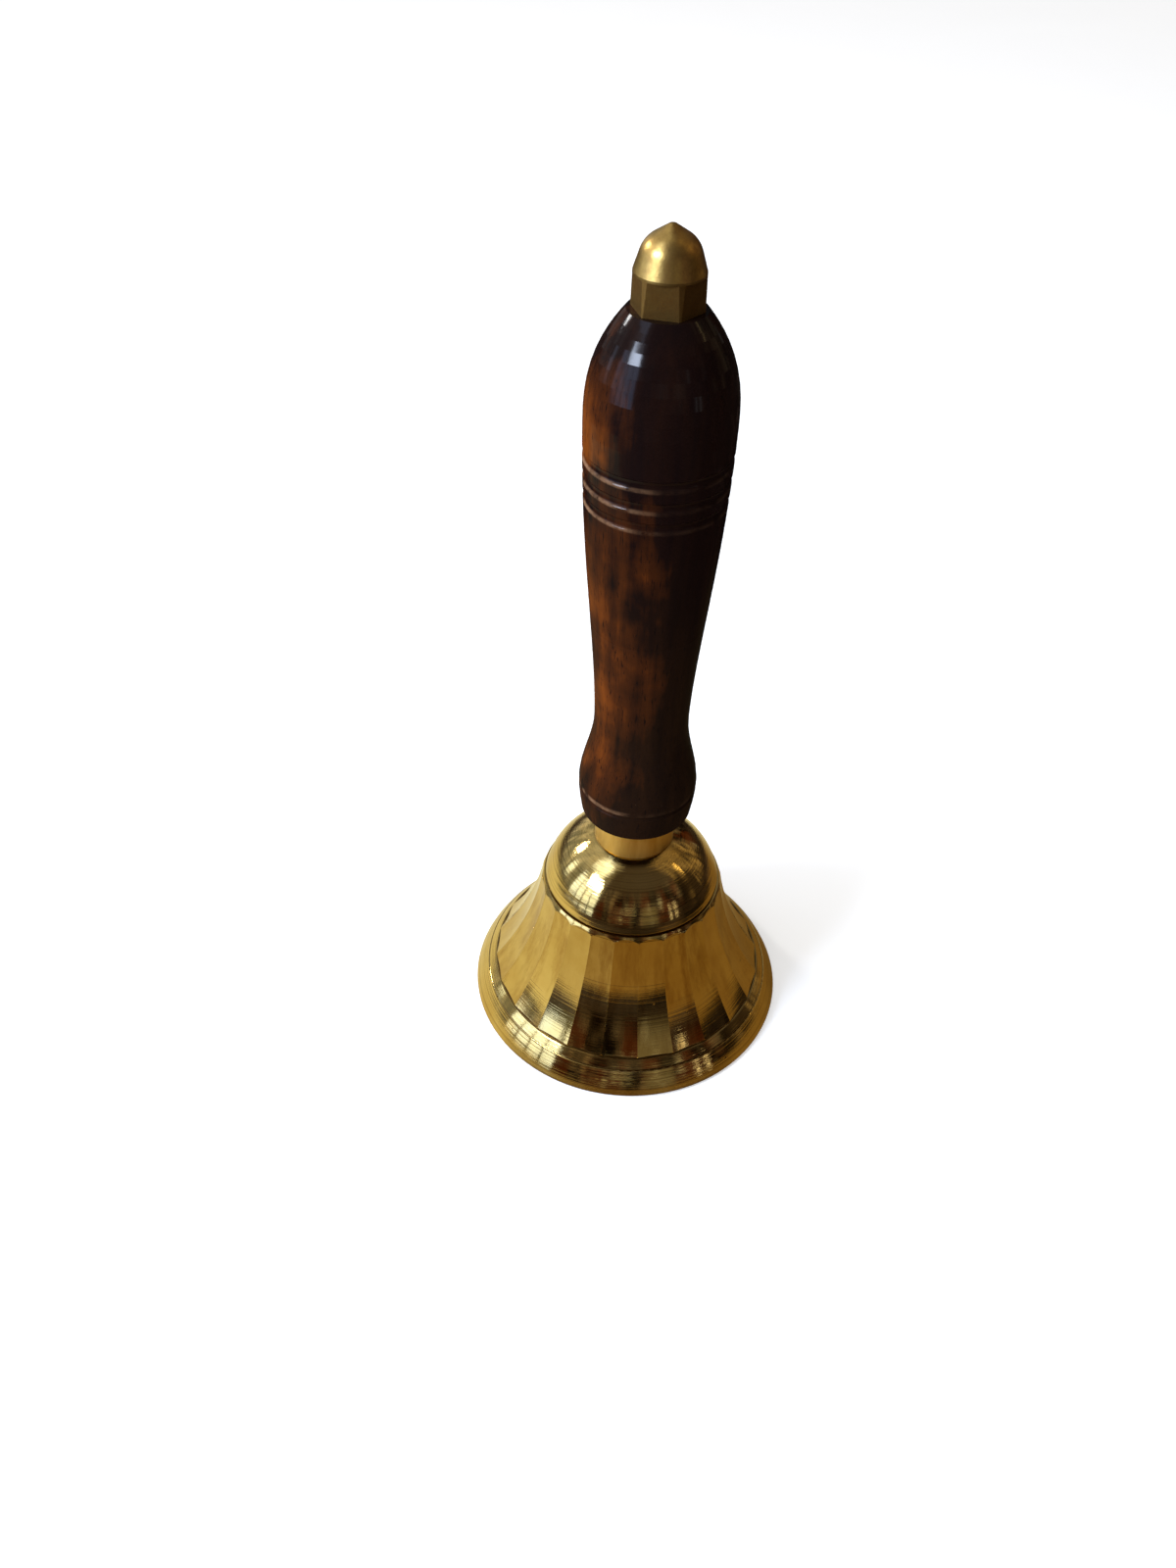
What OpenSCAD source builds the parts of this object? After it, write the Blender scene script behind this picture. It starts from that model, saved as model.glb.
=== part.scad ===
// Small hand bell: a faceted brass bell under a turned wooden handle, held together by one long rod.
// Millimetres. The mouth of the bell lies on z = 0, its centre is the origin, and +Z runs up the handle.
// The rod goes through crown, collar and handle into the cap nut, and its eye carries the clapper.

// The sub-part to show, or all of them

/* [Bell] */
// Diameter of the mouth
mouth_d = 76; // [74:0.5:80]
// Height of the scribed line where the lip ends and the ground facets begin
line_z = 8.1; // [7:0.1:9]
// Radius to the middle of a facet just above the scribed line
facet_low_r = 32.6; // [32:0.1:32.9]
// Radius to the middle of a facet at the shoulder
facet_top_r = 21; // [20.6:0.1:21.4]
// Height of the shoulder at the middle of a facet
facet_top_z = 37; // [36.4:0.1:37.4]
// Number of facets ground around the skirt
facets = 24; // [20:1:28]
// Radius of the grinding wheel that leaves the facets hollow from top to bottom
wheel_r = 72; // [66:1:90]
// Rounding across the rim of that wheel, which leaves them very slightly hollow from side to side
wheel_rim_r = 60; // [40:1:90]
// Thickness of the skirt
wall = 2.6; // [2.2:0.1:2.8]
// Height of the flat seat on top of the crown
crown_z = 50.6; // [50:0.1:52]

/* [Handle] */
// Height of the brass collar between crown and wood
collar_h = 9.3; // [8:0.1:12]
// Outer radius of the collar
collar_r = 9; // [8.8:0.05:9.6]
// Length of the wood above the collar
handle_h = 111.8; // [100:0.1:120]
// Radius of the bulb at the bottom of the handle
bulb_r = 13; // [12.4:0.1:13.6]
// Radius of the waist above the bulb
waist_r = 10; // [9.4:0.1:10.6]
// Radius of the wide upper part that fills the hand
belly_r = 13.7; // [13:0.1:14.4]

/* [Hardware] */
// Diameter of the rod, a quarter-inch thread
rod_d = 6.35; // [6:0.05:6.4]
// Width of both nuts across their flats
nut_af = 11.1; // [10.8:0.1:11.4]
// Height of the flats on the cap nut
cap_hex_h = 5.7; // [5.4:0.1:6.2]

/* [Clapper] */
// Radius of the clapper's ball
bob_r = 7.2; // [6.6:0.1:7.4]
// Height of the ball's centre when the clapper hangs still
bob_z = 11.6; // [11.2:0.1:12]
// Radius of the link ring, to the middle of its wire
link_r = 4; // [3.9:0.05:4.2]

/* [Hidden] */
$fn = 96;
mouth_r = mouth_d / 2;
slack = 0.05;

// The facets are arcs of the wheel, so one centre outside the bell serves skirt and hollow.
facet_low = [facet_low_r, line_z];
facet_top = [facet_top_r, facet_top_z];
wheel_c = arc_centre(facet_top, facet_low, wheel_r);
wheel_from = 180 + asin((wheel_c.y - facet_top_z) / wheel_r) - 2.5;
wheel_to = 180 + asin((wheel_c.y - line_z) / wheel_r) + 2.5;

// Lip: a convex roll from just under the scribed line down to the mouth.
lip_top_r = facet_low_r / cos(180 / facets) + 0.05;
lip_edge_z = 0.7;
lip_c = arc_centre([lip_top_r, line_z], [mouth_r, lip_edge_z], -22);
second_line_z = 6.1;
second_line_r = lip_c.x + sqrt(22 * 22 - pow(second_line_z - lip_c.y, 2));
lip_wall = 2.6;

// Shoulder and crown: a dome above a thin turned groove.
crown_edge_z = facet_top_z + 1.2;
crown_edge_r = facet_top_r - 0.7;
ledge_r = crown_edge_r + 0.4;
ledge_z = crown_edge_z - 0.6;
crown_arc = 18.5;
crown_c = arc_centre([crown_edge_r, crown_edge_z], [collar_r, crown_z], crown_arc);
ceiling_z = crown_z - 3.6;
meet_z = facet_top_z - 0.5;
hollow_r = wheel_r + wall;
meet_r = wheel_c.x - sqrt(hollow_r * hollow_r - pow(wheel_c.y - meet_z, 2));
low_in_r = wheel_c.x - sqrt(hollow_r * hollow_r - pow(wheel_c.y - line_z, 2));
crown_in_r = norm([meet_r, meet_z] - crown_c);

// Handle heights, measured up from the top of the collar.
wood_z = crown_z + collar_h;
foot_in = 0.8;
bulb_h = 8;
waist_h = 26;
belly_h = 92;
seat_r = 6.95;
groove_h = [78.3, 82.3, 86.5];
tenon_r = collar_r - 1.1;

// Rod and hardware.
rod_r = rod_d / 2;
hole_r = rod_r + 0.15;
nut_r = nut_af / 2 / cos(30);
nut_z = wood_z + handle_h;
bore_h = 8.8;
washer_r = 7.8;
washer_h = 1.2;
crown_nut_h = 3.2;
washer_z = ceiling_z - washer_h;
crown_nut_z = washer_z - crown_nut_h;
thread_pitch = 1.27;
thread_end_z = crown_nut_z - 1.7;

// Dome of the cap nut: a tapering side and a blunt cone, joined by a round that touches both.
dome_r = nut_r - 0.3;
dome_foot = 0.4;
dome_h = 7.75;
dome_round = 4.9;
dome_taper = 18;
tip_slope = 58;
tip_r = 0.3;
side_reach = dome_r * cos(dome_taper) + dome_foot * sin(dome_taper) - dome_round;
cone_reach = tip_r * cos(tip_slope) + dome_h * sin(tip_slope) - dome_round;
dome_c = [side_reach * sin(tip_slope) - cone_reach * sin(dome_taper),
    cone_reach * cos(dome_taper) - side_reach * cos(tip_slope)] / sin(tip_slope - dome_taper);

// Chain of eye, link and loop, each hanging in the one above with a hair of play.
play = 0.15;
eye_drop = 12;
eye_r = 3.4;
eye_wire = 1.5;
link_wire = 1;
loop_r = 2.6;
loop_wire = 1;
eye_z = ceiling_z - eye_drop;
link_z = eye_z - (eye_r - eye_wire - link_wire - play) - link_r;
loop_z = link_z - (link_r - link_wire - loop_wire - play) - loop_r;
shank_r = 1.6;
shoulder_r = 2.1;
shoulder_h = 1;
rivet_r = 2.4;
rivet_h = 1.1;
bob_low_z = bob_z - bob_r + 0.5;
bob_top_z = bob_z + bob_r - 0.4;

// Centre of the arc of radius r through p and q. A positive r puts it on the left of the way from p to q.
function arc_centre(p, q, r) =
    let (d = q - p, half = norm(d) / 2, away = sqrt(r * r - half * half) * sign(r) / norm(d))
    (p + q) / 2 + away * [-d.y, d.x];

// Radius of the turned wood at height h: foot, bulb, waist, belly and rounded top in one smooth run.
function ease(a, b, t) = a + (b - a) * (1 - cos(180 * t)) / 2;
function wood_r(h) =
    h < bulb_h ? bulb_r - foot_in + foot_in * sin(90 * h / bulb_h)
    : h < waist_h ? ease(bulb_r, waist_r, pow((h - bulb_h) / (waist_h - bulb_h), 0.9))
    : h < belly_h ? ease(waist_r, belly_r, pow((h - waist_h) / (belly_h - waist_h), 0.85))
    : belly_r - (belly_r - seat_r) * pow((h - belly_h) / (handle_h - belly_h), 2.55);

module ring(r, wire) {
    rotate_extrude()
        translate([r, 0])
            circle(r = wire, $fn = 32);
}

module hexagon(h) {
    // Both faces lose their sharp corners to a turned chamfer.
    intersection() {
        cylinder(r = nut_r, h = h, $fn = 6);
        cylinder(r1 = nut_af / 2 + 0.1, r2 = nut_af / 2 + 0.1 + h * 1.8, h = h);
        cylinder(r1 = nut_af / 2 + 0.1 + h * 1.8, r2 = nut_af / 2 + 0.1, h = h);
    }
}

// Crown dome, groove and sloping ledge, and the plain cone that the wheel grinds into facets.
module skirt_outline() {
    difference() {
        union() {
            polygon([[0, line_z], [lip_top_r, line_z], [ledge_r + 1.17, ledge_z - 2.6], [ledge_r, ledge_z],
                [crown_edge_r, ledge_z], [crown_edge_r, crown_edge_z], [0, crown_edge_z]]);
            intersection() {
                translate(crown_c)
                    circle(r = crown_arc);
                translate([0, crown_edge_z - 0.1])
                    square([mouth_r, crown_z - crown_edge_z + 0.1]);
            }
        }
        translate([crown_edge_r - 0.3, crown_edge_z - 0.7])
            square([1, 0.4]);
    }
}

module lip_outline() {
    difference() {
        intersection() {
            translate(lip_c)
                circle(r = 22);
            polygon([[20, 0], [mouth_r - 0.6, 0], [mouth_r + 0.3, 0.9], [mouth_r + 0.3, line_z], [20, line_z]]);
        }
        translate([second_line_r + 0.1, second_line_z])
            circle(r = 0.3, $fn = 24);
    }
}

module hollow_outline() {
    polygon([[0, -1], [mouth_r - lip_wall + 0.73, -1], [mouth_r - lip_wall, 0], [low_in_r, line_z], [0, line_z]]);
    difference() {
        translate([0, line_z])
            square([mouth_r, meet_z - line_z]);
        translate(wheel_c)
            circle(r = hollow_r);
    }
    intersection() {
        translate(crown_c)
            circle(r = crown_in_r);
        translate([0, meet_z])
            square([mouth_r, ceiling_z - meet_z]);
    }
}

// The working part of the grinding wheel, standing at the facet on the +X side.
module facet_cut() {
    translate([wheel_c.x, 0, wheel_c.y])
        rotate([90, 0, 0])
            rotate([0, 0, wheel_from])
                rotate_extrude(angle = wheel_to - wheel_from)
                    intersection() {
                        translate([wheel_r - wheel_rim_r, 0])
                            circle(r = wheel_rim_r);
                        translate([wheel_r - 4, -5.2])
                            square([5, 10.4]);
                    }
}

module bell_body() {
    color("gold")
    difference() {
        union() {
            difference() {
                rotate_extrude()
                    skirt_outline();
                for (i = [0 : facets - 1])
                    rotate([0, 0, -90 + i * 360 / facets])
                        facet_cut();
            }
            rotate_extrude()
                lip_outline();
        }
        rotate_extrude()
            hollow_outline();
        cylinder(r = hole_r, h = crown_z + 1);
        // Scribed line over the feet of the facets
        translate([0, 0, line_z - 0.1])
            difference() {
                cylinder(r = mouth_r, h = 0.4);
                translate([0, 0, -1])
                    cylinder(r = facet_low_r + 0.1, h = 2);
            }
    }
}

module neck_collar() {
    color("goldenrod")
    translate([0, 0, crown_z])
        rotate_extrude()
            polygon([[tenon_r + slack, 0], [collar_r - 0.3, 0], [collar_r, 0.3], [collar_r, collar_h - 0.3],
                [collar_r - 0.3, collar_h], [tenon_r + slack, collar_h]]);
}

module handle() {
    color("saddlebrown")
    translate([0, 0, wood_z])
        difference() {
            union() {
                rotate_extrude()
                    polygon(concat([[0, 0], [wood_r(0) - 0.6, 0]],
                        [for (i = [0 : 8]) let (h = 0.5 + i * (waist_h - 0.5) / 9) [wood_r(h), h]],
                        [for (i = [0 : 17]) let (h = waist_h + i * (belly_h - waist_h) / 18) [wood_r(h), h]],
                        [for (i = [0 : 12]) let (h = belly_h + sin(90 * i / 12) * (handle_h - belly_h))
                            [wood_r(h), h]],
                        [[0, handle_h]]));
                // Spigot inside the collar
                translate([0, 0, 0.4 - collar_h])
                    cylinder(r = tenon_r, h = collar_h);
            }
            translate([0, 0, -collar_h])
                cylinder(r = hole_r, h = handle_h + collar_h + 1);
            for (h = groove_h)
                translate([0, 0, h])
                    ring(wood_r(h) + 1.12, 1.5);
            // Narrow line around the bulb
            translate([0, 0, bulb_h - 0.9])
                ring(bulb_r + 0.2, 0.6);
        }
}

module tie_rod() {
    color("silver")
    union() {
        difference() {
            translate([0, 0, thread_end_z])
                cylinder(r = rod_r, h = nut_z + bore_h - 0.6 - thread_end_z);
            for (z = [thread_end_z + 0.5 : thread_pitch : crown_nut_z])
                translate([0, 0, z])
                    ring(rod_r + 0.1, 0.45);
        }
        translate([0, 0, thread_end_z - 1.3])
            cylinder(r1 = eye_wire + 0.1, r2 = rod_r - 0.3, h = 1.3);
        translate([0, 0, eye_z + eye_r])
            cylinder(r = eye_wire + 0.1, h = thread_end_z - 1.3 - eye_z - eye_r);
        translate([0, 0, eye_z])
            rotate([0, 90, 0])
                ring(eye_r, eye_wire);
    }
}

// Round blank that the cap nut is milled from
module blank_outline() {
    shoulder = [for (a = [dome_taper : 4 : tip_slope]) [dome_c.x, cap_hex_h + dome_c.y] + dome_round * [cos(a), sin(a)]];
    top = cap_hex_h + dome_h;
    polygon(concat([[0, 0], [nut_r - 0.1, 0], [dome_r, cap_hex_h + dome_foot]], shoulder,
        [[2 * tip_r, top - tip_r / tan(tip_slope)], [0, top]]));
}

module cap_nut() {
    color("goldenrod")
    translate([0, 0, nut_z])
        difference() {
            rotate_extrude()
                blank_outline();
            // Six flats milled into the blank
            rotate([0, 0, -10])
                difference() {
                    translate([0, 0, -1])
                        cylinder(r = nut_r + 2, h = cap_hex_h + 1);
                    translate([0, 0, -2])
                        cylinder(r = nut_r, h = cap_hex_h + 3, $fn = 6);
                }
            translate([0, 0, -1])
                cylinder(r = rod_r + slack, h = bore_h + 1);
        }
}

module crown_washer() {
    color("silver")
    translate([0, 0, washer_z])
        difference() {
            cylinder(r = washer_r, h = washer_h);
            translate([0, 0, -1])
                cylinder(r = rod_r + 0.2, h = washer_h + 2);
        }
}

module crown_nut() {
    color("silver")
    translate([0, 0, crown_nut_z])
        difference() {
            hexagon(crown_nut_h);
            translate([0, 0, -1])
                cylinder(r = rod_r + slack, h = crown_nut_h + 2);
        }
}

module clapper_link() {
    color("silver")
    translate([0, 0, link_z])
        rotate([90, 0, 0])
            ring(link_r, link_wire);
}

module clapper_shank() {
    color("silver")
    union() {
        translate([0, 0, loop_z])
            rotate([0, 90, 0])
                ring(loop_r, loop_wire);
        translate([0, 0, bob_top_z])
            cylinder(r = shoulder_r, h = shoulder_h);
        translate([0, 0, bob_top_z + shoulder_h])
            cylinder(r1 = shoulder_r, r2 = loop_wire + 0.2, h = loop_z - loop_r - bob_top_z - shoulder_h);
        translate([0, 0, bob_low_z - 0.2])
            cylinder(r = shank_r, h = bob_top_z - bob_low_z + 0.4);
        // Riveted end under the ball
        translate([0, 0, bob_low_z - rivet_h])
            cylinder(r1 = rivet_r - rivet_h, r2 = rivet_r, h = rivet_h);
    }
}

module clapper_bob() {
    color("dimgray")
    difference() {
        translate([0, 0, bob_z])
            sphere(r = bob_r);
        translate([0, 0, bob_z - bob_r - 1])
            cylinder(r = shank_r + slack, h = 2 * bob_r + 2);
        translate([0, 0, bob_low_z - 3])
            cylinder(r = bob_r, h = 3);
        translate([0, 0, bob_top_z])
            cylinder(r = bob_r, h = 3);
    }
}

bell_body();
neck_collar();
handle();
tie_rod();
cap_nut();
crown_washer();
crown_nut();
clapper_link();
clapper_shank();
clapper_bob();
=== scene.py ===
"""Looks of the hand bell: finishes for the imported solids, a pale studio and the camera."""
import math

import bpy
from mathutils import Matrix, Vector

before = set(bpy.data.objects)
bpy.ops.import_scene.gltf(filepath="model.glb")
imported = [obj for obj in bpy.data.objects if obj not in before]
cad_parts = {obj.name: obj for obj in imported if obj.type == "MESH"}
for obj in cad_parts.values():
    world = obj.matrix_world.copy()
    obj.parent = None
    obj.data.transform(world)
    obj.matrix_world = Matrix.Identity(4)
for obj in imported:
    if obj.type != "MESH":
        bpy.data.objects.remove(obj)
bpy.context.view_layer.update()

# Sizes that the finishes share with the solids, in millimetres
FACETS = 24
LINE_Z = 8.1
SECOND_LINE_Z = 6.1
FACET_TOP_Z = 37.0
GROOVE_FOOT_Z = 37.5
GROOVE_MIDDLE_Z = 37.7
WOOD_GROOVE_Z = (138.2, 142.2, 146.4)
BULB_LINE_Z = 67.0
NUT_FLATS_Z = 177.5

# Heights for the finishes alone, in millimetres: where the foot of the lip is rubbed, the level about
# which a facet leans, and where stain and lacquer change on the handle
LIP_RUB_Z = 5.0
FACET_MIDDLE_Z = 22.0
WAIST_Z = 84.0
GRIP_Z = 105.0
BEADS_FOOT_Z = 136.0
EGG_SHOULDER_Z = 156.0

# All lamps point at this height in the lower part of the handle, most of them from this far, in metres
LAMP_AIM_Z = 0.08
LAMP_DISTANCE = 1.1


def linear(code):
    """Linear colour from an sRGB hex code."""
    parts = [int(code[i:i + 2], 16) / 255 for i in (1, 3, 5)]
    return [c / 12.92 if c <= 0.04045 else ((c + 0.055) / 1.055) ** 2.4 for c in parts] + [1.0]


def add(tree, kind, inputs=None, **settings):
    """One shader node with its settings. A socket among its inputs is linked, and the rest are values."""
    made = tree.nodes.new("ShaderNode" + kind)
    for name, value in settings.items():
        setattr(made, name, value)
    for key, value in (inputs or {}).items():
        if isinstance(value, bpy.types.NodeSocket):
            tree.links.new(value, made.inputs[key])
        else:
            made.inputs[key].default_value = value
    return made


def begin(name):
    """A new material, its node tree and its shader."""
    material = bpy.data.materials.new(name)
    material.use_nodes = True
    return material, material.node_tree, material.node_tree.nodes["Principled BSDF"]


def connect(tree, shader, sockets):
    """Links these outputs to the shader's inputs of these names."""
    for name, socket in sockets.items():
        tree.links.new(socket, shader.inputs[name])


def front_bearing(tree, xyz):
    """Bearing of a place in radians: 0 is the front, and it grows to the right."""
    back = add(tree, "Math", {0: xyz[1], 1: -1.0}, operation="MULTIPLY").outputs[0]
    return add(tree, "Math", {0: xyz[0], 1: back}, operation="ARCTAN2").outputs[0]


def places(tree):
    """Object coordinates in millimetres: the point, its height and its distance from the axis. Last comes
    its bearing in turns, with 0 at the front of the bell, in the middle of a facet."""
    at = add(tree, "TexCoord").outputs["Object"]
    point = add(tree, "VectorMath", {0: at, "Scale": 1000.0}, operation="SCALE").outputs[0]
    xyz = add(tree, "SeparateXYZ", {0: point}).outputs
    flat = add(tree, "CombineXYZ", {0: xyz[0], 1: xyz[1]}).outputs[0]
    radius = add(tree, "VectorMath", {0: flat}, operation="LENGTH").outputs["Value"]
    bearing = add(tree, "Math", {0: front_bearing(tree, xyz), 1: 2 * math.pi}, operation="DIVIDE").outputs[0]
    return point, xyz[2], radius, bearing


def apart(tree, value, middle):
    """How far a value lies from this middle, either way."""
    off = add(tree, "Math", {0: value, 1: middle}, operation="SUBTRACT").outputs[0]
    return add(tree, "Math", {0: off}, operation="ABSOLUTE").outputs[0]


def bands(tree, height, lines, core):
    """1 on these heights and 0 away from them. Each comes with half its width, and the core is the share of
    that where it is fully 1."""
    found = 0.0
    for middle, half in lines:
        near = add(tree, "MapRange", {0: apart(tree, height, middle), 1: half, 2: half * core}).outputs[0]
        found = add(tree, "Math", {0: found, 1: near}, operation="MAXIMUM").outputs[0]
    return found


def on_side(tree, bearing, middle):
    """1 on the side of this bearing, which is in radians from the front, falling to -1 on the far side."""
    off = add(tree, "Math", {0: bearing, 1: 2 * math.pi, 2: -middle}, operation="MULTIPLY_ADD").outputs[0]
    return add(tree, "Math", {0: off}, operation="COSINE").outputs[0]


def polished_cast_brass():
    """Cast yellow brass, turned, ground into facets and buffed. It gives a mirror-like tan gold with fine
    turning rings, a slightly different tilt on each hand-ground facet, lengthwise grinding streaks, a rounded
    ledge, a few casting pits, and brown polish residue in the scribed lines and in the groove."""
    material, tree, shader = begin("polished_cast_brass")
    point, height, radius, bearing = places(tree)

    # Outside or inside of the wall, from the way that the surface faces
    facing = add(tree, "TexCoord").outputs["Normal"]
    spread = add(tree, "VectorMath", {0: point, 1: (1.0, 1.0, 0.0)}, operation="MULTIPLY").outputs[0]
    away = add(tree, "VectorMath", {0: spread}, operation="NORMALIZE").outputs[0]
    up = add(tree, "VectorMath", {0: away, 1: (0.0, 0.0, 1.0)}, operation="ADD").outputs[0]
    side = add(tree, "VectorMath", {0: facing, 1: up}, operation="DOT_PRODUCT").outputs["Value"]
    outside = add(tree, "MapRange", {0: side, 1: -0.05, 2: 0.05}).outputs[0]

    # Turning rings follow the way along the profile: the radius grows and the height falls
    along = add(tree, "Math", {0: radius, 1: height}, operation="SUBTRACT").outputs[0]
    # 0.25 mm tool feed, drawn at about 0.8 mm so that it shows
    rings = add(tree, "TexNoise", {"W": along, "Scale": 1.2, "Detail": 3.0, "Roughness": 0.65},
                noise_dimensions="1D").outputs[0]

    # Facet number and the place across the facet, from -0.5 to 0.5
    turn = add(tree, "Math", {0: bearing, 1: float(FACETS)}, operation="MULTIPLY").outputs[0]
    number = add(tree, "Math", {0: turn}, operation="ROUND").outputs[0]
    across = add(tree, "Math", {0: turn, 1: number}, operation="SUBTRACT").outputs[0]
    lot = add(tree, "TexWhiteNoise", {"W": number}, noise_dimensions="1D").outputs
    lots = add(tree, "SeparateColor", {0: lot["Color"]}).outputs
    above_line = add(tree, "MapRange", {0: height, 1: LINE_Z + 0.1, 2: LINE_Z + 0.2}).outputs[0]
    below_ledge = add(tree, "MapRange", {0: height, 1: FACET_TOP_Z - 0.6, 2: FACET_TOP_Z - 0.7}).outputs[0]
    ground = add(tree, "Math", {0: above_line, 1: below_ledge}, operation="MULTIPLY").outputs[0]

    # Each facet leans up to 1.3 degrees, in millimetres of height for each millimetre of z, and is
    # turned sideways by up to 2.6, in millimetres over its width
    lean = add(tree, "MapRange", {0: lots[0], 3: -0.022, 4: 0.022}).outputs[0]
    from_middle = add(tree, "Math", {0: height, 1: FACET_MIDDLE_Z}, operation="SUBTRACT").outputs[0]
    leaning = add(tree, "Math", {0: lean, 1: from_middle}, operation="MULTIPLY").outputs[0]
    yaw = add(tree, "MapRange", {0: lots[1], 3: -0.25, 4: 0.25}).outputs[0]
    turning = add(tree, "Math", {0: yaw, 1: across}, operation="MULTIPLY").outputs[0]
    facet_shape = add(tree, "Math", {0: leaning, 1: turning}, operation="ADD").outputs[0]
    facet_shape = add(tree, "Math", {0: facet_shape, 1: ground}, operation="MULTIPLY").outputs[0]
    # The foot of the lip is rubbed back by 3 degrees, and the foot of the crown by 4
    foot = add(tree, "MapRange", {0: height, 1: LIP_RUB_Z, 2: 0.0, 4: 0.3}).outputs[0]
    crown_foot = add(tree, "MapRange", {0: height, 1: GROOVE_MIDDLE_Z + 3.8, 2: GROOVE_MIDDLE_Z,
                                        4: 0.27}).outputs[0]
    above = add(tree, "MapRange", {0: height, 1: GROOVE_MIDDLE_Z - 0.1, 2: GROOVE_MIDDLE_Z}).outputs[0]
    foot = add(tree, "Math", {0: crown_foot, 1: above, 2: foot}, operation="MULTIPLY_ADD").outputs[0]
    foot = add(tree, "Math", {0: foot, 1: outside}, operation="MULTIPLY").outputs[0]
    facet_shape = add(tree, "Math", {0: facet_shape, 1: foot}, operation="ADD").outputs[0]

    # Grinding streaks run down each facet, 3 to 5 mm wide and 20 mm long, with finer ones among them
    streak_at = add(tree, "CombineXYZ", {0: turn, 1: along, 2: number}).outputs[0]
    streak_map = add(tree, "Mapping", {0: streak_at, "Scale": (1.8, 0.05, 3.0)}).outputs[0]
    streaks = add(tree, "TexNoise", {"Vector": streak_map, "Scale": 1.0, "Detail": 6.0,
                                     "Roughness": 0.68}).outputs[0]

    # Smears of polish and handling, about 14 mm across
    smears = add(tree, "TexNoise", {"Vector": point, "Scale": 0.07, "Detail": 4.0,
                                    "Roughness": 0.6}).outputs[0]

    # Casting pits, up to 0.6 mm wide and some 25 mm apart
    cells = add(tree, "TexVoronoi", {"Vector": point, "Scale": 0.14, "Randomness": 1.0})
    pit = add(tree, "MapRange", {0: cells.outputs["Distance"], 1: 0.045, 2: 0.02}).outputs[0]

    # Residue in the two scribed lines and in the groove under the crown
    lines = ((LINE_Z + 0.1, 0.22), (SECOND_LINE_Z, 0.24), (GROOVE_MIDDLE_Z + 0.15, 0.25))
    marks = bands(tree, height, lines, 0.5)

    # Colour: gold, darker in the grinding streaks of the facets and in the rings of what is only turned
    tone = add(tree, "MapRange", {0: smears, 1: 0.35, 2: 0.65}).outputs[0]
    gold = add(tree, "Mix", {0: tone, 6: linear("#c2a25c"), 7: linear("#d3b874")},
               data_type="RGBA").outputs[2]
    streak_tone = add(tree, "MapRange", {0: streaks, 1: 0.44, 2: 0.64, 4: 0.85}).outputs[0]
    uneven = add(tree, "MapRange", {0: lots[2], 3: 0.2, 4: 1.0}).outputs[0]
    streak_tone = add(tree, "Math", {0: uneven, 1: streak_tone, 2: 0.12},
                      operation="MULTIPLY_ADD").outputs[0]
    streak_tone = add(tree, "Math", {0: streak_tone, 1: ground}, operation="MULTIPLY").outputs[0]
    gold = add(tree, "Mix", {0: streak_tone, 6: gold, 7: linear("#a07c40")}, data_type="RGBA").outputs[2]
    plain = add(tree, "MapRange", {0: ground, 3: 0.45, 4: 0.0}).outputs[0]
    ring_tone = add(tree, "MapRange", {0: rings, 1: 0.5, 2: 0.66}).outputs[0]
    ring_tone = add(tree, "Math", {0: ring_tone, 1: plain}, operation="MULTIPLY").outputs[0]
    gold = add(tree, "Mix", {0: ring_tone, 6: gold, 7: linear("#86662f")}, data_type="RGBA").outputs[2]
    gold = add(tree, "Mix", {0: marks, 6: gold, 7: linear("#4a3215")}, data_type="RGBA").outputs[2]
    gold = add(tree, "Mix", {0: pit, 6: gold, 7: linear("#3d2a12")}, data_type="RGBA").outputs[2]
    inner = add(tree, "Mix", {0: rings, 6: linear("#7d6233"), 7: linear("#a2834a")},
                data_type="RGBA").outputs[2]
    colour = add(tree, "Mix", {0: outside, 6: inner, 7: gold}, data_type="RGBA").outputs[2]

    # Roughness: buffed outside, plainly turned inside
    shine = add(tree, "MapRange", {0: smears, 1: 0.3, 2: 0.7, 3: 0.05, 4: 0.13}).outputs[0]
    matt = add(tree, "Math", {0: marks, 1: pit}, operation="MAXIMUM").outputs[0]
    buffed = add(tree, "MapRange", {0: ground, 3: 1.0, 4: 0.55}).outputs[0]
    shine = add(tree, "Math", {0: shine, 1: buffed}, operation="MULTIPLY").outputs[0]
    rough = add(tree, "Math", {0: matt, 1: 0.4, 2: shine}, operation="MULTIPLY_ADD").outputs[0]
    rough = add(tree, "Mix", {0: outside, 2: 0.38, 3: rough}).outputs[0]

    # Surface heights in millimetres
    ring_depth = add(tree, "MapRange", {0: ground, 3: 0.03, 4: 0.012}).outputs[0]
    ring_height = add(tree, "Math", {0: rings, 1: ring_depth}, operation="MULTIPLY").outputs[0]
    streak_height = add(tree, "Math", {0: streaks, 1: 0.022}, operation="MULTIPLY").outputs[0]
    streak_height = add(tree, "Math", {0: streak_height, 1: ground}, operation="MULTIPLY").outputs[0]
    total = add(tree, "Math", {0: ring_height, 1: streak_height}, operation="ADD").outputs[0]
    total = add(tree, "Math", {0: total, 1: facet_shape}, operation="ADD").outputs[0]
    total = add(tree, "Math", {0: pit, 1: -0.05, 2: total}, operation="MULTIPLY_ADD").outputs[0]
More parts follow.
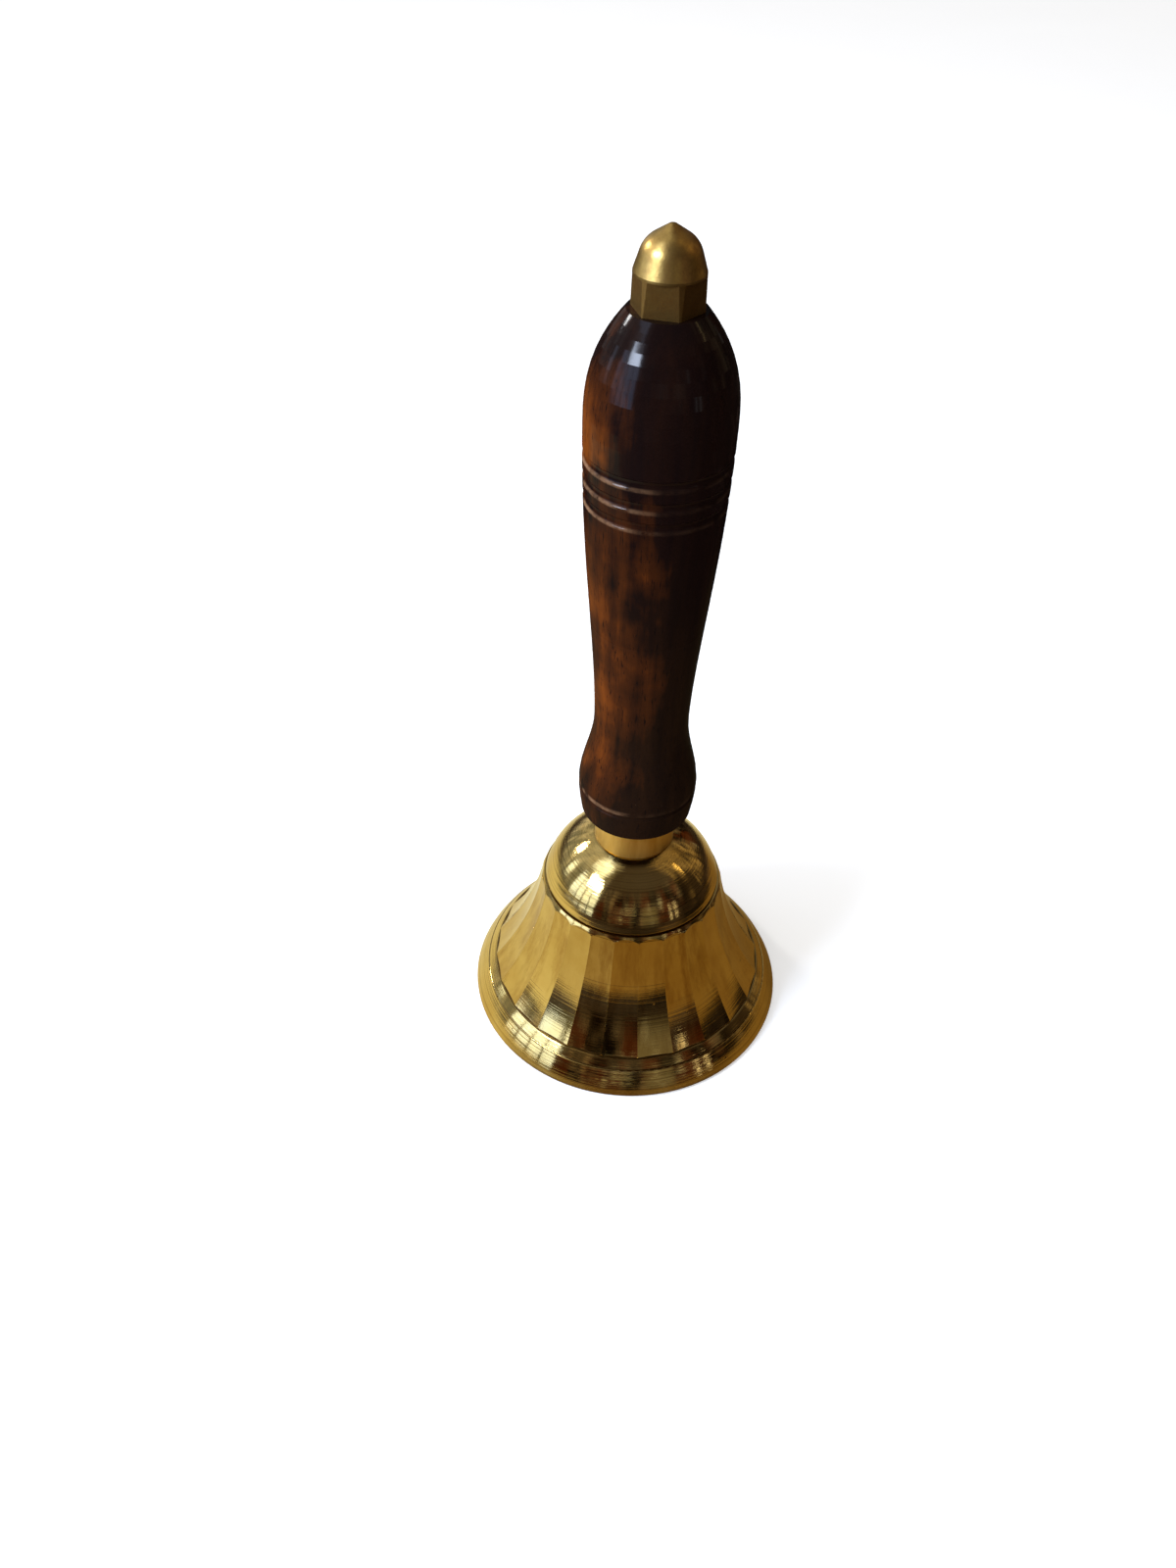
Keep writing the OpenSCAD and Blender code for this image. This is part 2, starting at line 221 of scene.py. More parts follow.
    # The ledge is rubbed round, so that it faces 11 degrees further up
    tilted = add(tree, "SeparateXYZ", {0: facing}).outputs[2]
    tilted = add(tree, "MapRange", {0: tilted, 1: 0.27, 2: 0.33, 4: 0.24}).outputs[0]
    above_facets = add(tree, "MapRange", {0: height, 1: FACET_TOP_Z - 0.9, 2: FACET_TOP_Z - 0.8}).outputs[0]
    under_groove = add(tree, "MapRange", {0: height, 1: GROOVE_FOOT_Z - 0.01,
                                          2: GROOVE_FOOT_Z - 0.03}).outputs[0]
    tilted = add(tree, "Math", {0: tilted, 1: above_facets}, operation="MULTIPLY").outputs[0]
    tilted = add(tree, "Math", {0: tilted, 1: under_groove}, operation="MULTIPLY").outputs[0]
    tilted = add(tree, "CombineXYZ", {2: tilted}).outputs[0]
    plane = add(tree, "NewGeometry").outputs["Normal"]
    plane = add(tree, "VectorMath", {0: plane, 1: tilted}, operation="ADD").outputs[0]
    plane = add(tree, "VectorMath", {0: plane}, operation="NORMALIZE").outputs[0]
    relief = add(tree, "Bump", {"Height": total, "Distance": 0.001, "Strength": 1.0,
                                "Normal": plane}).outputs[0]

    # Rings spread the shine up and down, and the grinding streaks on the facets spread it sideways
    turned = add(tree, "MapRange", {0: ground, 3: 0.25, 4: 0.0}).outputs[0]
    tangent = add(tree, "Tangent", direction_type="RADIAL", axis="Z").outputs[0]
    connect(tree, shader, {"Base Color": colour, "Roughness": rough, "Normal": relief,
                           "Anisotropic Rotation": turned, "Tangent": tangent})
    shader.inputs["Anisotropic"].default_value = 0.7
    shader.inputs["Metallic"].default_value = 1.0
    return material


def satin_turned_brass():
    """Brass tube turned and rubbed with fine abrasive. It gives a soft gold sheen with faint rings and
    a few handling marks."""
    material, tree, shader = begin("satin_turned_brass")
    point, height = places(tree)[:2]
    # Abrasive rings, 0.1 mm apart, drawn at about 0.7 mm
    rings = add(tree, "TexNoise", {"W": height, "Scale": 1.5, "Detail": 3.0, "Roughness": 0.7},
                noise_dimensions="1D").outputs[0]
    # Handling marks, 2 mm wide and 12 mm long
    stretched = add(tree, "Mapping", {0: point, "Scale": (0.5, 0.5, 0.08)}).outputs[0]
    rubs = add(tree, "TexNoise", {"Vector": stretched, "Scale": 1.0, "Detail": 4.0,
                                  "Roughness": 0.6}).outputs[0]
    tone = add(tree, "MapRange", {0: rubs, 1: 0.35, 2: 0.65}).outputs[0]
    colour = add(tree, "Mix", {0: tone, 6: linear("#c9a35a"), 7: linear("#dcba70")},
                 data_type="RGBA").outputs[2]
    rough = add(tree, "MapRange", {0: rubs, 1: 0.3, 2: 0.7, 3: 0.4, 4: 0.5}).outputs[0]
    relief = add(tree, "Bump", {"Height": rings, "Distance": 0.000006, "Strength": 1.0}).outputs[0]
    connect(tree, shader, {"Base Color": colour, "Roughness": rough, "Normal": relief})
    shader.inputs["Metallic"].default_value = 1.0
    return material


def tarnished_pressed_brass():
    """Brass cap nut, pressed and left to dull in the hand. It gives a soft satin glow, brown tarnish in
    patches, and fine scuffs."""
    material, tree, shader = begin("tarnished_pressed_brass")
    point, height = places(tree)[:2]
    # Tarnish patches, about 4 mm across
    patches = add(tree, "TexNoise", {"Vector": point, "Scale": 0.25, "Detail": 5.0,
                                     "Roughness": 0.65}).outputs[0]
    # Scuffs and pressed grain, about 0.5 mm
    grain = add(tree, "TexNoise", {"Vector": point, "Scale": 2.0, "Detail": 3.0,
                                   "Roughness": 0.6}).outputs[0]
    tone = add(tree, "MapRange", {0: patches, 1: 0.38, 2: 0.66}).outputs[0]
    colour = add(tree, "Mix", {0: tone, 6: linear("#c8a55c"), 7: linear("#98733d")},
                 data_type="RGBA").outputs[2]
    # The flats are browner and duller than the dome, which the hand polishes
    flats = add(tree, "MapRange", {0: height, 1: NUT_FLATS_Z + 0.3, 2: NUT_FLATS_Z - 0.3}).outputs[0]
    browned = add(tree, "Math", {0: flats, 1: 0.7}, operation="MULTIPLY").outputs[0]
    colour = add(tree, "Mix", {0: browned, 6: colour, 7: linear("#6c4a20")}, data_type="RGBA").outputs[2]
    rough = add(tree, "MapRange", {0: patches, 1: 0.3, 2: 0.7, 3: 0.28, 4: 0.42}).outputs[0]
    rough = add(tree, "Math", {0: flats, 1: 0.15, 2: rough}, operation="MULTIPLY_ADD").outputs[0]
    relief = add(tree, "Bump", {"Height": grain, "Distance": 0.00003, "Strength": 1.0}).outputs[0]
    connect(tree, shader, {"Base Color": colour, "Roughness": rough, "Normal": relief})
    shader.inputs["Metallic"].default_value = 1.0
    return material


def stained_lacquered_hardwood():
    """Close-grained hardwood, turned, stained nearly black and lacquered. It gives dark cherry brown with
    amber where the stain is thin, painted light along the left side, fine pores along the grain, a painted
    highlight like worn brown lacquer beside each turned line, and sharp glints in the lacquer, which is
    duller low down where the hand rubs it."""
    material, tree, shader = begin("stained_lacquered_hardwood")
    point, height, _, bearing = places(tree)
    # Growth streaks along the handle: 4 mm wide and 60 mm long
    long_map = add(tree, "Mapping", {0: point, "Scale": (0.25, 0.25, 0.017)}).outputs[0]
    streaks = add(tree, "TexNoise", {"Vector": long_map, "Scale": 1.0, "Detail": 5.0, "Roughness": 0.6,
                                     "Distortion": 0.3}).outputs[0]
    # Clouds where the stain took unevenly, about 20 mm across
    clouds = add(tree, "TexNoise", {"Vector": point, "Scale": 0.05, "Detail": 4.0,
                                    "Roughness": 0.55}).outputs[0]
    # Pores: 0.15 mm wide and 3 mm long, drawn at 0.4 mm so that they show
    pore_map = add(tree, "Mapping", {0: point, "Scale": (2.4, 2.4, 0.3)}).outputs[0]
    pores = add(tree, "TexNoise", {"Vector": pore_map, "Scale": 1.0, "Detail": 2.0,
                                   "Roughness": 0.6}).outputs[0]
    pore = add(tree, "MapRange", {0: pores, 1: 0.6, 2: 0.72}).outputs[0]

    stain = add(tree, "MapRange", {0: streaks, 1: 0.38, 2: 0.7}).outputs[0]
    low = add(tree, "MapRange", {0: height, 1: BEADS_FOOT_Z, 2: WAIST_Z}).outputs[0]
    dark = add(tree, "Mix", {0: low, 6: linear("#120908"), 7: linear("#1a0f09")},
               data_type="RGBA").outputs[2]
    warm = add(tree, "Mix", {0: low, 6: linear("#1b0d08"), 7: linear("#26160b")},
               data_type="RGBA").outputs[2]
    brown = add(tree, "Mix", {0: stain, 6: dark, 7: warm}, data_type="RGBA").outputs[2]
    # Painted light: the wood is lighter along the left side of the handle, where the light falls, and more so
    # low down, mixed with the stain's own thin patches
    painted_light_bearing, painted_fill_bearing = -1.35, 2.5
    painted_light_side = on_side(tree, bearing, painted_light_bearing)
    mottle = add(tree, "Math", {0: clouds, 1: 1.3}, operation="MULTIPLY").outputs[0]
    mottle = add(tree, "Math", {0: streaks, 1: 0.7, 2: mottle}, operation="MULTIPLY_ADD").outputs[0]
    thin_stain_and_painted_light = add(tree, "Math", {0: painted_light_side, 1: 0.3, 2: mottle}, operation="MULTIPLY_ADD").outputs[0]
    thin_stain_and_painted_light = add(tree, "Math", {0: low, 1: 0.02, 2: thin_stain_and_painted_light}, operation="MULTIPLY_ADD").outputs[0]
    # Painted fill light: lighter again at the back on the right, which the light leaves in shade
    painted_fill_back_right = on_side(tree, bearing, painted_fill_bearing)
    painted_fill_back_right = add(tree, "MapRange", {0: painted_fill_back_right, 1: 0.35, 2: 0.85, 4: 0.34}).outputs[0]
    thin_stain_and_painted_light = add(tree, "Math", {0: thin_stain_and_painted_light, 1: painted_fill_back_right}, operation="ADD").outputs[0]
    # The thin stain and the painted light are held back at the top and on the bulb
    top = add(tree, "MapRange", {0: height, 1: EGG_SHOULDER_Z + 2.0, 2: EGG_SHOULDER_Z + 12.0,
                                 4: 0.25}).outputs[0]
    bulb = add(tree, "MapRange", {0: height, 1: BULB_LINE_Z + 9.0, 2: BULB_LINE_Z + 1.0,
                                  4: 0.14}).outputs[0]
    ends = add(tree, "Math", {0: top, 1: bulb}, operation="ADD").outputs[0]
    thin_stain_and_painted_light = add(tree, "Math", {0: thin_stain_and_painted_light, 1: ends}, operation="SUBTRACT").outputs[0]
    # Where the stain is thin and where light is painted on, the brown turns lighter
    lighter_stain_and_painted_light = add(tree, "MapRange", {0: thin_stain_and_painted_light, 1: 1.09, 2: 1.42, 4: 0.92}).outputs[0]
    brown = add(tree, "Mix", {0: lighter_stain_and_painted_light, 6: brown, 7: linear("#46210a")}, data_type="RGBA").outputs[2]
    # Amber where the stain is thinnest and the painted light strongest, and a painted sheen in spots above
    # the top groove on the left
    over = add(tree, "MapRange", {0: height, 1: EGG_SHOULDER_Z, 2: EGG_SHOULDER_Z - 7.0}).outputs[0]
    top_groove = WOOD_GROOVE_Z[2]
    above = add(tree, "MapRange", {0: height, 1: top_groove - 1.4, 2: top_groove + 0.6, 4: 0.22}).outputs[0]
    over = add(tree, "Math", {0: over, 1: above}, operation="MULTIPLY").outputs[0]
    over = add(tree, "Math", {0: over, 1: painted_light_side}, operation="MULTIPLY").outputs[0]
    amber_stain_and_sheen = add(tree, "Math", {0: thin_stain_and_painted_light, 1: over}, operation="ADD").outputs[0]
    amber = add(tree, "MapRange", {0: amber_stain_and_sheen, 1: 1.32, 2: 1.6, 4: 0.55}).outputs[0]
    brown = add(tree, "Mix", {0: amber, 6: brown, 7: linear("#7a3d10")}, data_type="RGBA").outputs[2]
    brown = add(tree, "Mix", {0: pore, 6: brown, 7: linear("#120a08")}, data_type="RGBA").outputs[2]

    # Painted highlight in a band beside each turned line, drawn like lacquer worn to brown, strongest on the
    # left where the light falls and broken up in patches of about 3 mm
    edges = [(z - 1.0, 0.5) for z in WOOD_GROOVE_Z] + [(BULB_LINE_Z + 1.0, 0.8)]
    painted_groove_highlight = bands(tree, height, edges, 0.3)
    rubs = add(tree, "TexNoise", {"Vector": point, "Scale": 0.3, "Detail": 4.0,
                                  "Roughness": 0.6}).outputs[0]
    highlight_breakup = add(tree, "MapRange", {0: rubs, 1: 0.36, 2: 0.6, 4: 0.7}).outputs[0]
    lit_side_share = add(tree, "MapRange", {0: painted_light_side, 1: 0.1, 2: 1.0, 3: 0.06, 4: 1.0}).outputs[0]
    painted_groove_highlight = add(tree, "Math", {0: painted_groove_highlight, 1: highlight_breakup}, operation="MULTIPLY").outputs[0]
    painted_groove_highlight = add(tree, "Math", {0: painted_groove_highlight, 1: lit_side_share}, operation="MULTIPLY").outputs[0]
    brown = add(tree, "Mix", {0: painted_groove_highlight, 6: brown, 7: linear("#8f6a4c")}, data_type="RGBA").outputs[2]

    # Fine pale scratches and dust, 0.2 mm wide, drawn at up to 0.7 mm, and only low down
    scratch_map = add(tree, "Mapping", {0: point, "Rotation": (0.5, 0.3, 0.0),
                                        "Scale": (1.5, 1.5, 0.4)}).outputs[0]
    scratches = add(tree, "TexNoise", {"Vector": scratch_map, "Scale": 1.0, "Detail": 5.0,
                                       "Roughness": 0.8}).outputs[0]
    scratch = add(tree, "MapRange", {0: scratches, 1: 0.68, 2: 0.76, 4: 0.35}).outputs[0]
    scratch = add(tree, "Math", {0: scratch, 1: low}, operation="MULTIPLY").outputs[0]
    colour = add(tree, "Mix", {0: scratch, 6: brown, 7: linear("#8a7258")}, data_type="RGBA").outputs[2]

    # Dull wood under lacquer, which lies in slow waves of about 6 mm, strongest and smoothest at the top
    dull = add(tree, "MapRange", {0: clouds, 1: 0.3, 2: 0.7, 3: 0.45, 4: 0.6}).outputs[0]
    waves = add(tree, "TexNoise", {"Vector": point, "Scale": 0.16, "Detail": 2.0}).outputs[0]
    pore_height = add(tree, "Math", {0: pore, 1: -0.008}, operation="MULTIPLY").outputs[0]
    relief = add(tree, "Bump", {"Height": pore_height, "Distance": 0.001, "Strength": 1.0}).outputs[0]
    smooth = add(tree, "Bump", {"Height": waves, "Distance": 0.000015, "Strength": 1.0}).outputs[0]
    lacquer = add(tree, "MapRange", {0: height, 1: EGG_SHOULDER_Z, 2: BEADS_FOOT_Z - 2.0,
                                     3: 0.32, 4: 0.06}).outputs[0]
    gloss = add(tree, "MapRange", {0: height, 1: BEADS_FOOT_Z + 4.0, 2: GRIP_Z, 3: 0.13, 4: 0.3}).outputs[0]
    connect(tree, shader, {"Base Color": colour, "Roughness": dull, "Normal": relief, "Coat Normal": smooth,
                           "Coat Weight": lacquer, "Coat Roughness": gloss})
    shader.inputs["Specular IOR Level"].default_value = 0.0
    shader.inputs["Coat IOR"].default_value = 1.42
    return material


def zinc_plated_steel():
    """Bright zinc over steel on bought hardware. It gives a cool, cloudy grey shine."""
    material, tree, shader = begin("zinc_plated_steel")
    point = places(tree)[0]
    # Spangle clouds, about 2 mm across
    clouds = add(tree, "TexNoise", {"Vector": point, "Scale": 0.5, "Detail": 4.0,
                                    "Roughness": 0.6}).outputs[0]
    tone = add(tree, "MapRange", {0: clouds, 1: 0.35, 2: 0.65}).outputs[0]
    colour = add(tree, "Mix", {0: tone, 6: linear("#9a9c9d"), 7: linear("#b9bbbc")},
                 data_type="RGBA").outputs[2]
    rough = add(tree, "MapRange", {0: clouds, 1: 0.3, 2: 0.7, 3: 0.25, 4: 0.4}).outputs[0]
    relief = add(tree, "Bump", {"Height": clouds, "Distance": 0.00002, "Strength": 1.0}).outputs[0]
    connect(tree, shader, {"Base Color": colour, "Roughness": rough, "Normal": relief})
    shader.inputs["Metallic"].default_value = 1.0
    return material


def drawn_steel_wire():
    """Steel drawn through a die and bent. It gives a darker grey with draw lines and a few rust specks."""
    material, tree, shader = begin("drawn_steel_wire")
    point = places(tree)[0]
    # Draw lines, 0.1 mm apart and 2.5 mm long, drawn at about 0.3 mm, and rust specks of about 1 mm
    lines_map = add(tree, "Mapping", {0: point, "Scale": (3.0, 3.0, 0.4)}).outputs[0]
    lines = add(tree, "TexNoise", {"Vector": lines_map, "Scale": 1.0, "Detail": 3.0,
                                   "Roughness": 0.6}).outputs[0]
    specks = add(tree, "TexNoise", {"Vector": point, "Scale": 0.9, "Detail": 4.0,
                                    "Roughness": 0.7}).outputs[0]
    rust = add(tree, "MapRange", {0: specks, 1: 0.6, 2: 0.7}).outputs[0]
    tone = add(tree, "MapRange", {0: lines, 1: 0.35, 2: 0.65}).outputs[0]
    grey = add(tree, "Mix", {0: tone, 6: linear("#6f7071"), 7: linear("#909192")},
               data_type="RGBA").outputs[2]
    colour = add(tree, "Mix", {0: rust, 6: grey, 7: linear("#5a3a26")}, data_type="RGBA").outputs[2]
    rough = add(tree, "MapRange", {0: rust, 3: 0.32, 4: 0.6}).outputs[0]
    relief = add(tree, "Bump", {"Height": lines, "Distance": 0.00002, "Strength": 1.0}).outputs[0]
    connect(tree, shader, {"Base Color": colour, "Roughness": rough, "Normal": relief})
    shader.inputs["Metallic"].default_value = 1.0
    return material


def turned_iron():
    """Grey iron ball, turned and left bare. It gives a dark dull metal with tool rings and brown spots."""
    material, tree, shader = begin("turned_iron")
    point, height = places(tree)[:2]
    # Tool rings, 0.3 mm apart, drawn at about 0.8 mm
    rings = add(tree, "TexNoise", {"W": height, "Scale": 1.2, "Detail": 2.0, "Roughness": 0.7},
                noise_dimensions="1D").outputs[0]
    # Brown spots, about 3 mm across
    spots = add(tree, "TexNoise", {"Vector": point, "Scale": 0.35, "Detail": 5.0,
                                   "Roughness": 0.7}).outputs[0]
    rust = add(tree, "MapRange", {0: spots, 1: 0.55, 2: 0.72}).outputs[0]
    grey = add(tree, "Mix", {0: rings, 6: linear("#4c4b4a"), 7: linear("#757372")},
               data_type="RGBA").outputs[2]
    colour = add(tree, "Mix", {0: rust, 6: grey, 7: linear("#4f3424")}, data_type="RGBA").outputs[2]
    rough = add(tree, "MapRange", {0: rust, 3: 0.42, 4: 0.7}).outputs[0]
    relief = add(tree, "Bump", {"Height": rings, "Distance": 0.00003, "Strength": 1.0}).outputs[0]
    connect(tree, shader, {"Base Color": colour, "Roughness": rough, "Normal": relief})
    shader.inputs["Metallic"].default_value = 0.9
    return material


def mirror_rays(tree, path):
    """1 on the rays by which metal and lacquer see, and 0 on the camera's own and on those of plain light."""
    return add(tree, "Math", {0: path["Is Glossy Ray"], 1: path["Is Transmission Ray"]},
               operation="MAXIMUM").outputs[0]


def dress(material, *names):
    """Gives one finish to these solids."""
    for name in names:
        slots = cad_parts[name].data.materials
        slots.clear()
        slots.append(material)


def studio_floor():
    """Matt white paper under the bell, which holds its shadow. Metal and lacquer see a table of it that ends
    15 cm in front, out of the picture, and is lit from the left. From below the paper isn't there."""
    bpy.ops.object.select_all(action="DESELECT")
    bpy.ops.mesh.primitive_circle_add(vertices=64, radius=4.0, fill_type="NGON", location=(0, 0, -0.0002))
    floor = bpy.context.object
    floor.name = "studio_floor"
    bpy.ops.object.transform_apply(location=True, rotation=True, scale=True)
    material, tree, shader = begin("white_paper")
    at = add(tree, "TexCoord").outputs["Object"]
    xyz = add(tree, "SeparateXYZ", {0: at}).outputs
    # Paper tooth, far finer than a pixel, drawn as soft clouds of 60 mm
    clouds = add(tree, "TexNoise", {"Vector": at, "Scale": 16.0}).outputs[0]
    paper = add(tree, "Mix", {0: clouds, 6: linear("#e6e4e1"), 7: linear("#eae8e5")},
                data_type="RGBA").outputs[2]

    # The table in the reflections: its four edges, the shade in front and on the right, away from the
    # windows, and a painted contact shade in front, against the lip
    path = add(tree, "LightPath").outputs
    front = add(tree, "MapRange", {0: xyz[1], 1: -0.157, 2: -0.15}).outputs[0]
    back = add(tree, "MapRange", {0: xyz[1], 1: 0.17, 2: 0.11}).outputs[0]
    left = add(tree, "MapRange", {0: xyz[0], 1: -0.33, 2: -0.28}).outputs[0]
    right = add(tree, "MapRange", {0: xyz[0], 1: 0.15, 2: 0.12}).outputs[0]
    deep = add(tree, "Math", {0: front, 1: back}, operation="MULTIPLY").outputs[0]
    wide = add(tree, "Math", {0: left, 1: right}, operation="MULTIPLY").outputs[0]
    table = add(tree, "Math", {0: deep, 1: wide}, operation="MULTIPLY").outputs[0]
    bearing = front_bearing(tree, xyz)
    shade = add(tree, "MapRange", {0: bearing, 1: -1.2, 2: 0.0}, interpolation_type="SMOOTHSTEP").outputs[0]
    behind = add(tree, "MapRange", {0: bearing, 1: 2.9, 2: 2.2}, interpolation_type="SMOOTHSTEP").outputs[0]
    shade = add(tree, "Math", {0: shade, 1: behind}, operation="MULTIPLY").outputs[0]
    lit = add(tree, "Mix", {0: shade, 6: linear("#d6cb9c"), 7: linear("#8a6c36")},
              data_type="RGBA").outputs[2]
    # Painted contact shade: the paper darkens in front, close to where the lip stands on it
    reach = add(tree, "VectorMath", {0: at}, operation="LENGTH").outputs["Value"]
    painted_contact_shade = add(tree, "MapRange", {0: reach, 1: 0.054, 2: 0.046, 4: 0.92}).outputs[0]
    ahead = add(tree, "MapRange", {0: xyz[1], 1: -0.026, 2: -0.038}).outputs[0]
    painted_contact_shade = add(tree, "Math", {0: painted_contact_shade, 1: ahead}, operation="MULTIPLY").outputs[0]
    lit = add(tree, "Mix", {0: painted_contact_shade, 6: lit, 7: linear("#2b2119")}, data_type="RGBA").outputs[2]
    # Dark boards beyond the table, in patches of 9 cm
    boards = add(tree, "TexVoronoi", {"Vector": at, "Scale": 11.0, "Randomness": 0.8}, distance="CHEBYCHEV")
    boards = add(tree, "SeparateColor", {0: boards.outputs["Color"]}).outputs[0]
    boards = add(tree, "MapRange", {0: boards, 1: 0.3, 2: 1.0}).outputs[0]
    boards = add(tree, "Mix", {0: boards, 6: linear("#150e0b"), 7: linear("#54443a")},
                 data_type="RGBA").outputs[2]
    lit = add(tree, "Mix", {0: table, 6: boards, 7: lit}, data_type="RGBA").outputs[2]
    mirrored = mirror_rays(tree, path)
    lit = add(tree, "Mix", {0: mirrored, 6: (1, 1, 1, 1), 7: lit}, data_type="RGBA").outputs[2]
    colour = add(tree, "Mix", {0: 1.0, 6: paper, 7: lit},
                 data_type="RGBA", blend_type="MULTIPLY").outputs[2]
    shader.inputs["Roughness"].default_value = 0.9
    shader.inputs["Specular IOR Level"].default_value = 0.1
    # A little brighter than its light makes it, for the camera and in reflections alone
    seen = add(tree, "Math", {0: path["Is Camera Ray"], 1: mirrored}, operation="MAXIMUM").outputs[0]
    lift = add(tree, "Math", {0: seen, 1: 0.45}, operation="MULTIPLY").outputs[0]
    connect(tree, shader, {"Base Color": colour, "Emission Color": lit, "Emission Strength": lift})
    below = add(tree, "NewGeometry").outputs["Backfacing"]
    gone = add(tree, "BsdfTransparent").outputs[0]
    surface = add(tree, "MixShader", {0: below, 1: shader.outputs[0], 2: gone}).outputs[0]
    tree.links.new(surface, tree.nodes["Material Output"].inputs["Surface"])
    floor.data.materials.append(material)


def studio_surround():
    """White all round for the camera. Metal and lacquer see a room, as in the photograph: dim in front with
    upright patches of grey and brown, tan on the right and bright on the left. The rest of the light is soft,
    and strongest from the windows' side."""
    world = bpy.data.worlds.new("studio_surround")
    bpy.context.scene.world = world
    world.use_nodes = True
    tree = world.node_tree
    backdrop = tree.nodes["Background"]
    path = add(tree, "LightPath").outputs
    direction = add(tree, "TexCoord").outputs["Generated"]
    sides = add(tree, "SeparateXYZ", {0: direction}).outputs
    # Bearings in radians: 0 is straight behind the bell, and they grow to the right
    round_about = add(tree, "Math", {0: sides[0], 1: sides[1]}, operation="ARCTAN2").outputs[0]
    cupboard_at, tan_at = 2.68, 1.3
    upright = add(tree, "CombineXYZ", {0: round_about, 1: sides[2]}).outputs[0]
    # Patches of 12 by 20 degrees, and others of 3 by 6 among them
    wide = add(tree, "Mapping", {0: upright, "Scale": (4.8, 2.9, 1.0)}).outputs[0]
    wide = add(tree, "TexVoronoi", {"Vector": wide, "Scale": 1.0, "Randomness": 0.6},
               distance="CHEBYCHEV", voronoi_dimensions="2D").outputs["Color"]
    wide = add(tree, "SeparateColor", {0: wide}).outputs
    small = add(tree, "Mapping", {0: upright, "Scale": (20.0, 9.0, 1.0)}).outputs[0]
    small = add(tree, "TexVoronoi", {"Vector": small, "Scale": 1.0, "Randomness": 0.7},
                distance="CHEBYCHEV", voronoi_dimensions="2D").outputs["Color"]
    small = add(tree, "SeparateColor", {0: small}).outputs
    tone = add(tree, "Math", {0: small[0], 1: 0.9, 2: wide[0]}, operation="MULTIPLY_ADD").outputs[0]
    grey = add(tree, "MapRange", {0: tone, 1: 0.85, 2: 1.6}).outputs[0]
    # The ceiling has no patches, only rays that fan out from above
    rays = add(tree, "TexNoise", {"W": round_about, "Scale": 9.0, "Detail": 3.0},
               noise_dimensions="1D").outputs[0]
    rays = add(tree, "MapRange", {0: rays, 1: 0.4, 2: 0.6}).outputs[0]
    overhead = add(tree, "MapRange", {0: sides[2], 1: 0.5, 2: 0.7}).outputs[0]
    patchy = add(tree, "Math", {0: 1.0, 1: overhead}, operation="SUBTRACT").outputs[0]
    # Dim in front, with brown things, a pale cupboard on the right and a few bright specks
    calm = add(tree, "Mix", {0: overhead, 2: grey, 3: 0.28}).outputs[0]
    room = add(tree, "Mix", {0: calm, 6: linear("#0f0a08"), 7: linear("#93857a")},
               data_type="RGBA").outputs[2]
    brown = add(tree, "Math", {0: small[2], 1: 0.5, 2: wide[1]}, operation="MULTIPLY_ADD").outputs[0]
    brown = add(tree, "MapRange", {0: brown, 1: 0.9, 2: 0.94, 4: 0.8}).outputs[0]
    brown = add(tree, "Math", {0: brown, 1: patchy}, operation="MULTIPLY").outputs[0]
    room = add(tree, "Mix", {0: brown, 6: room, 7: linear("#5c2f18")}, data_type="RGBA").outputs[2]
    cupboard = add(tree, "MapRange", {0: apart(tree, round_about, cupboard_at), 1: 0.17, 2: 0.16}).outputs[0]
    door = add(tree, "MapRange", {0: sides[2], 1: 0.36, 2: 0.34}).outputs[0]
    cupboard = add(tree, "Math", {0: cupboard, 1: door}, operation="MULTIPLY").outputs[0]
    room = add(tree, "Mix", {0: cupboard, 6: room, 7: linear("#827b6c")}, data_type="RGBA").outputs[2]
    speck = add(tree, "MapRange", {0: small[1], 1: 0.955, 2: 0.96}).outputs[0]
    speck = add(tree, "Math", {0: speck, 1: patchy}, operation="MULTIPLY").outputs[0]
    room = add(tree, "Mix", {0: speck, 6: room, 7: linear("#c4c4c0")}, data_type="RGBA").outputs[2]
    # Dark along the horizon
    low = add(tree, "MapRange", {0: sides[2], 1: 0.02, 2: 0.14, 3: 0.7, 4: 0.0}).outputs[0]
    room = add(tree, "Mix", {0: low, 6: room, 7: linear("#1a120f")}, data_type="RGBA").outputs[2]
    # Tan on the right, and bright on the left where the windows are
    grey = add(tree, "Mix", {0: overhead, 2: grey, 3: rays}).outputs[0]
    right = add(tree, "MapRange", {0: apart(tree, round_about, tan_at), 1: 0.6, 2: 0.3},
                interpolation_type="SMOOTHSTEP").outputs[0]
    tan = add(tree, "Mix", {0: grey, 6: linear("#3a2f26"), 7: linear("#cdb286")},
              data_type="RGBA").outputs[2]
    room = add(tree, "Mix", {0: right, 6: room, 7: tan}, data_type="RGBA").outputs[2]
    left = add(tree, "MapRange", {0: round_about, 1: -2.5, 2: -2.1},
               interpolation_type="SMOOTHSTEP").outputs[0]
    behind = add(tree, "MapRange", {0: round_about, 1: 0.0, 2: -0.5, 3: 0.25}).outputs[0]
    left = add(tree, "Math", {0: left, 1: behind}, operation="MULTIPLY").outputs[0]
    ahead = add(tree, "MapRange", {0: round_about, 1: 0.3, 2: 0.0}).outputs[0]
    left = add(tree, "Math", {0: left, 1: ahead}, operation="MULTIPLY").outputs[0]
    pale = add(tree, "Mix", {0: grey, 6: linear("#8f9498"), 7: linear("#ffffff")},
               data_type="RGBA").outputs[2]
    room = add(tree, "Mix", {0: left, 6: room, 7: pale}, data_type="RGBA").outputs[2]

